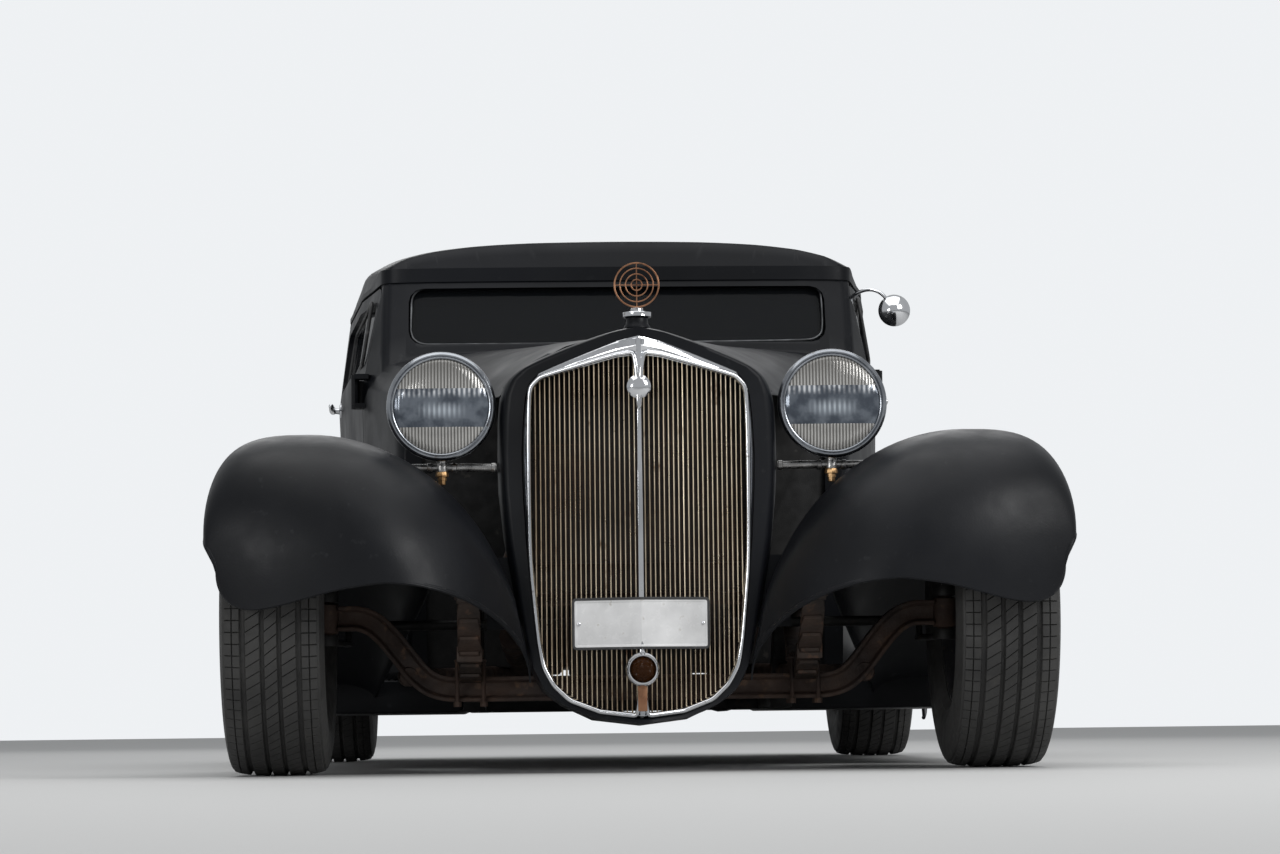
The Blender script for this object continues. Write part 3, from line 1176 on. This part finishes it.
def makeRoofEdge(settings, shell):
    high, path, scales = settings["height"], [], []
    starts = []
    for side in (1, -1):
        rows = []
        for k in range(0, 33):
            rows.append((side * 1.2, settings["backY"] + (-0.40 - settings["backY"]) * k / 32, -side, 0.0))
        for k in range(1, 13):
            turn = math.radians(90 * k / 13)
            aimX, aimY = side * math.cos(turn), math.sin(turn)
            rows.append((side * 0.48 + aimX, -0.40 - aimY, -aimX, aimY))
        for k in range(0, 13):
            rows.append((side * 0.48 * (1 - k / 12), -1.4, 0.0, 1.0))
        starts.append(rows)
    for x, y, aimX, aimY in starts[0] + starts[1][-2::-1]:
        found = skinPoint(shell, (x, y, high), (aimX, aimY, 0))
        if not found:
            continue
        spot = found[0]
        front = min(1.0, max(0.0, (-0.30 - spot.y) / 0.17))
        path.append(spot)
        scales.append(0.34 + 0.66 * front * front * (3 - 2 * front))
    place(sweepAround("roofEdge", path, settings["section"], scales), "bodySatin")


# Rubber and bright rims round the panes, laid on each pane's own outline
rimSettings = {
    "windshield": {"finish": "rimAlloy", "radius": 0.0030, "lift": 0.002},
    "rear_window": {"finish": "blackRubber", "radius": 0.0060, "lift": 0.002},
    "door_glass_left": {"finish": "blackRubber", "radius": 0.0048, "lift": 0.0},
    "door_glass_right": {"finish": "blackRubber", "radius": 0.0048, "lift": 0.0},
    "quarter_glass_left": {"finish": "blackRubber", "radius": 0.0055, "lift": 0.0},
    "quarter_glass_right": {"finish": "blackRubber", "radius": 0.0055, "lift": 0.0},
}


def paneRim(node, settings):
    # The pane's outline is the hull of its corners in its own plane
    spots = [v.co.copy() for v in frame["nodes"][node].data.vertices]
    middle = sum(spots, Vector()) / len(spots)
    broad = max(frame["nodes"][node].data.polygons, key=lambda face: face.area)
    normal = broad.normal.copy()
    if normal.dot(Vector((middle.x, middle.y - 0.2, 0)) if abs(middle.x) > 0.2 else Vector((0, middle.y - 0.2, 0))) < 0:
        normal = -normal
    across = normal.orthogonal().normalized()
    upward = normal.cross(across)
    hull = hullOf([((p - middle).dot(across), (p - middle).dot(upward)) for p in spots])
    outer = max((p - middle).dot(normal) for p in spots)
    loop = [middle + across * a * 0.994 + upward * b * 0.985 + normal * (outer + settings["lift"]) for a, b in hull]
    rim = tubeAlong("rim_" + node, loop, settings["radius"], 8, True)
    place(rim, settings["finish"], None, frame["nodes"][node]["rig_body"])


# Round mirror on a curved arm at the car's own left
mirrorSettings = {
    "head": (0.688, -0.5475, 1.1145), "radius": 0.0395, "arm": triples(578, -482, 1146, 588, -500, 1156, 606, -520,
            1166, 628, -534, 1170, 648, -542, 1164, 662, -546, 1152, 671, -547, 1140),
}


def makeMirror(settings):
    x, y, z = settings["head"]
    r = settings["radius"]
    bowl = [(-0.0230, 0.0), (-0.0225, 0.006), (-0.0205, 0.014), (-0.0165, 0.0225), (-0.0105, 0.0305), (-0.0030, 0.0362),
            (0.0030, 0.0384), (0.0045, r), (0.0085, r), (0.0100, 0.0385), (0.0100, 0.0365), (0.0080, 0.0360),
            (0.0078, 0.0)]
    parts = [spinOn("mirrorBowl", bowl, 64, (x, y, z), (0, 1, 0))]
    parts.append(tubeAlong("mirrorArm", curvedPath(settings["arm"], 5), 0.0046, 14))
    foot = pairs(-4, 0, -4, 16.5, -1, 18, 3, 16, 7, 8.5, 16, 6.2, 18, 0)
    parts.append(spinOn("mirrorFoot", foot, 32, (0.577, -0.480, 1.145), (0.45, -0.85, 0.30)))
    ball = pairs(-8.5, 0, -7.5, 4.2, -4.5, 7.3, 0, 8.5, 4.5, 7.3, 7.5, 4.2, 8.5, 0)
    parts.append(spinOn("mirrorBall", ball, 24, (0.6725, -0.5470, 1.1390), (0, 0, 1)))
    place(joinAll(parts, "roundMirror"), "chrome", "mirror")
    face = pairs(8.2, 0, 9.2, 20, 9, 35.8, 8.4, 36.2)
    place(spinOn("mirrorFace", face, 64, (x, y, z), (0, 1, 0)), "mirrorGlass")


# Ribbed boards with a bright edge strip
boardSettings = {"inner": 0.46, "outer": 0.856, "front": -0.775, "back": 0.545, "rib": 0.0042, "pitch": 0.0155}


def makeBoards(settings):
    for tag, side in sides:
        board = copyNode("running_board_" + tag, "pressedBoard_" + tag)
        soften(board, 0.006, 3, 50)
        shadeBy(board, 35)
        place(board, "satinBlack", "running_board_" + tag)
        ribs, x = [], settings["inner"]
        while x < settings["outer"]:
            spots = []
            for k in range(15):
                y = settings["front"] + (settings["back"] - settings["front"]) * k / 14
                found = skinPoint(board, (side * x, y, 0.5), (0, 0, -1))
                if found and found[1].z > 0.6:
                    spots.append(found[0] + Vector((0, 0, 0.0004)))
            if len(spots) > 2:
                ribs.append(tubeAlong("rib", spots, settings["rib"], 6))
            x += settings["pitch"]
        if ribs:
            place(joinAll(ribs, "boardRibs_" + tag), "blackRubber")


# Door handles, and tail lamps on the rear fenders
handleSettings = {"y": 0.335, "z": 0.955, "length": 0.105}


def makeHandle(tag, side, settings):
    door = bpy.data.objects["pressed_door_" + tag]
    found = skinPoint(door, (side * 1.2, settings["y"], settings["z"]), (-side, 0, 0))
    if not found:
        return
    spot = found[0]
    plate = pairs(-3, 0, -3, 21.5, 1.2, 20.5, 3.5, 16.5, 5, 0)
    neck = pairs(-2, 0, -2, 10.5, 10, 8.2, 20, 7.5, 24, 0)
    parts = [spinOn("plate", plate, 32, spot, (side, 0, 0)), spinOn("neck", neck, 24, spot, (side, 0, 0))]
    length = settings["length"]
    grip = pairs(-12, 0, -11, 5.5, -6, 8.8, 10, 9.5) + [(length * 0.55, 0.0078), (length * 0.9, 0.0068),
                                                        (length, 0.0050), (length + 0.003, 0.0)]
    parts.append(spinOn("grip", grip, 24, spot + Vector((side * 0.022, 0.004, 0)), (0, -1, 0.05)))
    place(joinAll(parts, "doorHandle_" + tag), "chrome", None, "door_" + tag)


def makeTailLamp(tag, side):
    # A red lens in a bright ring, on the pod that the rear fender carries
    centre = (side * 0.8001, 1.6635, 0.5032)
    ring = pairs(88, 0, 86, 30, 80, 38.8, 84, 39.8, 90, 39, 93.5, 36.5, 94, 33.5, 92, 32, 90, 0)
    place(spinOn("tailRing_" + tag, ring, 48, centre, (0, 1, 0)), "chrome")
    lens = pairs(90, 31.8, 95.5, 31, 98.5, 27, 97.8, 25.5, 100.5, 23.5, 99.8, 20.5, 102.2, 18, 101.4, 15, 103.4, 12,
                 102.8, 8.5, 104, 5, 104.2, 0)
    place(spinOn("tailLens_" + tag, lens, 48, centre, (0, 1, 0)), "redGlass")


for tag, side in sides:
    makeTailLamp(tag, side)
    makeBeads(tag, side, beadSettings)
    makeHandle(tag, side, handleSettings)
makeRoofEdge(roofEdgeSettings, bpy.data.objects["pressed_body_shell"])
for rimNode, rimChoice in rimSettings.items():
    paneRim(rimNode, rimChoice)
makeMirror(mirrorSettings)
makeBoards(boardSettings)
print("stage: body trim")

# Cabin: pleated benches, a thin-rimmed wheel, dials on the dash
seatSettings = {
    "front": {"node": "front_seat", "wide": 0.462, "pleats": 10, "front": -0.095, "back": 0.350, "base": 0.255,
              "cushionTop": 0.470, "backLow": 0.44, "backTop": 0.972, "backThick": 0.125},
    "rear": {"node": "rear_seat", "wide": 0.462, "pleats": 10, "front": 0.765, "back": 1.232, "base": 0.572,
             "cushionTop": 0.735, "backLow": 0.70, "backTop": 1.012, "backThick": 0.125},
}


def makeBench(tag, settings):
    wide, front, back, top = settings["wide"], settings["front"], settings["back"], settings["cushionTop"]
    rest, high, step = back - settings["backThick"], settings["backTop"], wide * 2 / settings["pleats"]
    parts = []
    for number in range(settings["pleats"]):
        left, right = -wide + number * step + 0.0012, -wide + (number + 1) * step - 0.0012
        parts.append(roundedBox("pleat", (left, front + 0.022, top - 0.060), (right, rest - 0.004, top), 0.017, 4))
        parts.append(roundedBox("pleat", (left, rest - 0.020, settings["backLow"] + 0.02),
                                (right, rest + 0.050, high - 0.030), 0.017, 4))
    parts.append(roundedBox("nose", (-wide, front, top - 0.095), (wide, front + 0.055, top - 0.002), 0.024, 5))
    parts.append(roundedBox("roll", (-wide, rest - 0.020, high - 0.062), (wide, back - 0.004, high), 0.028, 5))
    parts.append(roundedBox("shell", (-wide + 0.004, rest + 0.012, settings["base"] + 0.03),
                            (wide - 0.004, back - 0.002, high - 0.036), 0.016, 4))
    parts.append(roundedBox("plinth", (-wide + 0.012, front + 0.020, settings["base"]),
                            (wide - 0.012, back - 0.03, top - 0.050), 0.012, 3))
    bench = joinAll(parts, tag + "Bench")
    place(bench, "seatLeather", settings["node"])


wheelRimSettings = {"centre": (0.300, -0.270, 0.846), "aim": (0, 0.888, 0.459), "radius": 0.180, "grip": 0.0105}


def makeSteeringWheel(settings):
    centre, aim, r, grip = settings["centre"], settings["aim"], settings["radius"], settings["grip"]
    ring = [(math.sin(math.radians(a)) * grip, r + math.cos(math.radians(a)) * grip) for a in range(0, 360, 30)]
    place(spinOn("gripRim", ring, 72, centre, aim, True), "blackRubber", "steering_wheel")
    direction = Vector(aim).normalized()
    sideways = Vector((1, 0, 0))
    upward = direction.cross(sideways).normalized()
    parts = []
    for turn in (90, 210, 330):
        ray = sideways * math.cos(math.radians(turn)) + upward * math.sin(math.radians(turn))
        cross = ray.cross(direction)
        for shift in (-0.007, 0.0, 0.007):
            parts.append(tubeAlong("spoke", [
                Vector(centre) + ray * out + cross * shift * spread - direction * back
                for out, spread, back in ((0.022, 1.0, 0.012), (0.10, 1.2, 0.010), (r - 0.002, 1.6, 0.0))], 0.0022, 8))
    hub = pairs(-55, 0, -55, 15, -30, 16.5, -20, 27, -8, 29, -2, 27, 3, 20, 6, 10, 7, 0)
    parts.append(spinOn("hub", hub, 40, centre, aim))
    place(joinAll(parts, "wheelSpokes"), "chrome", None, frame["nodes"]["steering_wheel"]["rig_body"])


# Place across and height of each dial, and its radius
dialSettings = {"marks": 11, "firstMark": -40, "markStep": 26, "handTurn": 205, "dials": [
    (0.185, 0.820, 0.046), (0.415, 0.820, 0.046), (0.0, 0.835, 0.026), (-0.085, 0.835, 0.026), (0.085, 0.835, 0.026)]}


def makeDials(settings):
    bezels, faces, hands = [], [], []
    for x, z, r in settings["dials"]:
        found = skinPoint(bpy.data.objects["softened_dashboard"], (x, 0.3, z), (0, -1, 0))
        if not found:
            continue
        spot = found[0]

        def addHand(turn, first, last, lift, radius):
            ray = Vector((math.cos(math.radians(turn)), 0, math.sin(math.radians(turn)))) * r
            foot = spot + Vector((0, lift, 0))
            hands.append(tubeAlong("hand", [foot + ray * first, foot + ray * last], r * radius, 6))

        ring = [(-0.004, r - 0.004), (0.005, r - 0.004), (0.0075, r - 0.002), (0.0080, r + 0.001),
                (0.0065, r + 0.003), (-0.004, r + 0.004)]
        bezels.append(spinOn("bezel", ring, 40, spot, (0, 1, 0), True))
        faces.append(spinOn("face", [(0.0, r - 0.003), (0.0022, r - 0.0035), (0.0024, 0.0)], 40, spot, (0, 1, 0)))
        for mark in range(settings["marks"]):
            addHand(settings["firstMark"] + settings["markStep"] * mark, 0.72, 0.86, 0.0028, 0.014)
        addHand(settings["handTurn"], -0.12, 0.74, 0.0042, 0.02)
        hands.append(spinOn("pivot", [(0.002, r * 0.10), (0.005, r * 0.09), (0.0056, 0.0)], 16, spot, (0, 1, 0)))
    place(joinAll(bezels, "dialBezels"), "chrome")
    place(joinAll(faces, "dialFaces"), "blackRubber")
    place(joinAll(hands, "dialHands"), "plateEnamel")


for tag, choices in seatSettings.items():
    makeBench(tag, choices)
makeSteeringWheel(wheelRimSettings)
makeDials(dialSettings)
print("stage: cabin")

# The engine in the open bay: block, heads, covers, pan, gearbox, air cleaner, pulleys and fan
engineSettings = {"y": (-1.43, -0.94), "headX": 0.155, "headZ": 0.575, "lean": 38, "fanY": -1.585, "fanZ": 0.520,
                  "fanRadius": 0.165, "blades": 6, "pitch": 24}


def makeEngine(settings):
    front, back = settings["y"]
    middle = (front + back) / 2
    iron, bright, dark = [], [], []
    for name, half, ahead, behind, low, high, edge, segments in (
            ("block", 0.165, 0.0, 0.0, 0.335, 0.575, 0.014, 3), ("pan", 0.135, 0.02, 0.02, 0.197, 0.345, 0.026, 4),
            ("flange", 0.155, 0.01, 0.01, 0.338, 0.350, 0.004, 2),
            ("manifold", 0.085, 0.05, 0.06, 0.555, 0.660, 0.020, 4)):
        iron.append(roundedBox(name, (-half, front + ahead, low), (half, back - behind, high), edge, segments))
    for side in (-1, 1):
        x = side * settings["headX"]
        pivot = Vector((x, middle, settings["headZ"]))
        lean = (Matrix.Translation(pivot) @ Matrix.Rotation(math.radians(side * settings["lean"]), 4, "Y")
                @ Matrix.Translation(-pivot))

        def addLeaned(group, half, first, last, low, high, edge):
            box = roundedBox("leaned", (x - half, first, low), (x + half, last, high), edge, 3)
            box.data.transform(lean)
            group.append(box)

        addLeaned(iron, 0.080, front + 0.005, back - 0.005, 0.555, 0.655, 0.010)
        addLeaned(bright, 0.062, front + 0.02, back - 0.02, 0.650, 0.705, 0.022)
        for k in range(5):
            y = front + 0.075 + 0.085 * k
            addLeaned(bright, 0.045, y - 0.004, y + 0.004, 0.703, 0.710, 0.002)
        for k in range(4):
            y = front + 0.070 + 0.118 * k
            port = [(side * 0.215, y, 0.520), (side * 0.262, y + 0.010, 0.500), (side * 0.280, y + 0.040, 0.430),
                    (side * 0.276, y + 0.085, 0.350 - 0.012 * k), (side * 0.262, min(y + 0.20, back + 0.03), 0.290)]
            dark.append(tubeAlong("port", curvedPath(port, 5), 0.0175, 14))
        pipe = triples(266, -1240, 300, 262, -1080, 288, 255, -950, 270, 245, -870, 245)
        dark.append(tubeAlong("collector", curvedPath([(side * a, b, c) for a, b, c in pipe], 5), 0.030, 18))
    bell = pairs(0, 0, 0, 165, 20, 172, 100, 160, 150, 130, 190, 112, 360, 100, 420, 85, 455, 60, 470, 0)
    iron.append(spinOn("gearbox", bell, 40, (0, back - 0.002, 0.385), (0, 1, 0), False, 30))
    for z, r in ((0.520, 72), (0.350, 80)):
        groove = pairs(-40, 0, -40, r, -33, r + 3, -26, r - 10, -19, r + 3, -12, r, -10, 30, 30, 30, 30, 0)
        bright.append(spinOn("pulley", groove, 48, (0, front - 0.035, z), (0, 1, 0)))
    for side in (1, -1):
        belt = [(side * 0.0615, front - 0.061, 0.520), (side * 0.0695, front - 0.061, 0.350)][::side]
        dark.append(tubeAlong("belt", belt, 0.0055, 8))
    cleaner = pairs(0, 0, 0, 60, 12, 64, 14, 118, 18, 124, 46, 124, 50, 128, 56, 124, 62, 105, 66, 50, 67, 12, 78, 10,
                    79, 0)
    bright.append(spinOn("cleaner", cleaner, 64, (0, middle, 0.7105), (0, 0, 1)))
    carburettor = pairs(0, 0, 0, 55, 20, 60, 45, 45, 56, 50, 56, 0)
    iron.append(spinOn("carburettor", carburettor, 32, (0, middle, 0.656), (0, 0, 1)))
    y, z = settings["fanY"], settings["fanZ"]
    dark.append(spinOn("fanHub", pairs(-12, 0, -12, 30, 0, 34, 85, 30, 85, 0), 28, (0, y, z), (0, 1, 0)))
    for number in range(settings["blades"]):
        blade = roundedBox("blade", (-0.033, -0.001, 0.028), (0.033, 0.001, settings["fanRadius"]), 0.0008, 1)
        turn, pitch = math.radians(360 * number / settings["blades"]), math.radians(settings["pitch"])
        blade.data.transform(Matrix.Translation((0, y, z)) @ Matrix.Rotation(turn, 4, "Y")
                             @ Matrix.Rotation(pitch, 4, "Z"))
        dark.append(blade)
    place(joinAll(iron, "engineIron"), "castIron", "engine_block")
    place(joinAll(bright, "engineCovers"), "darkSteel")
    place(joinAll(dark, "engineDress"), "rustyIron")


makeEngine(engineSettings)
print("stage: engine")

print("stage: sizes written")
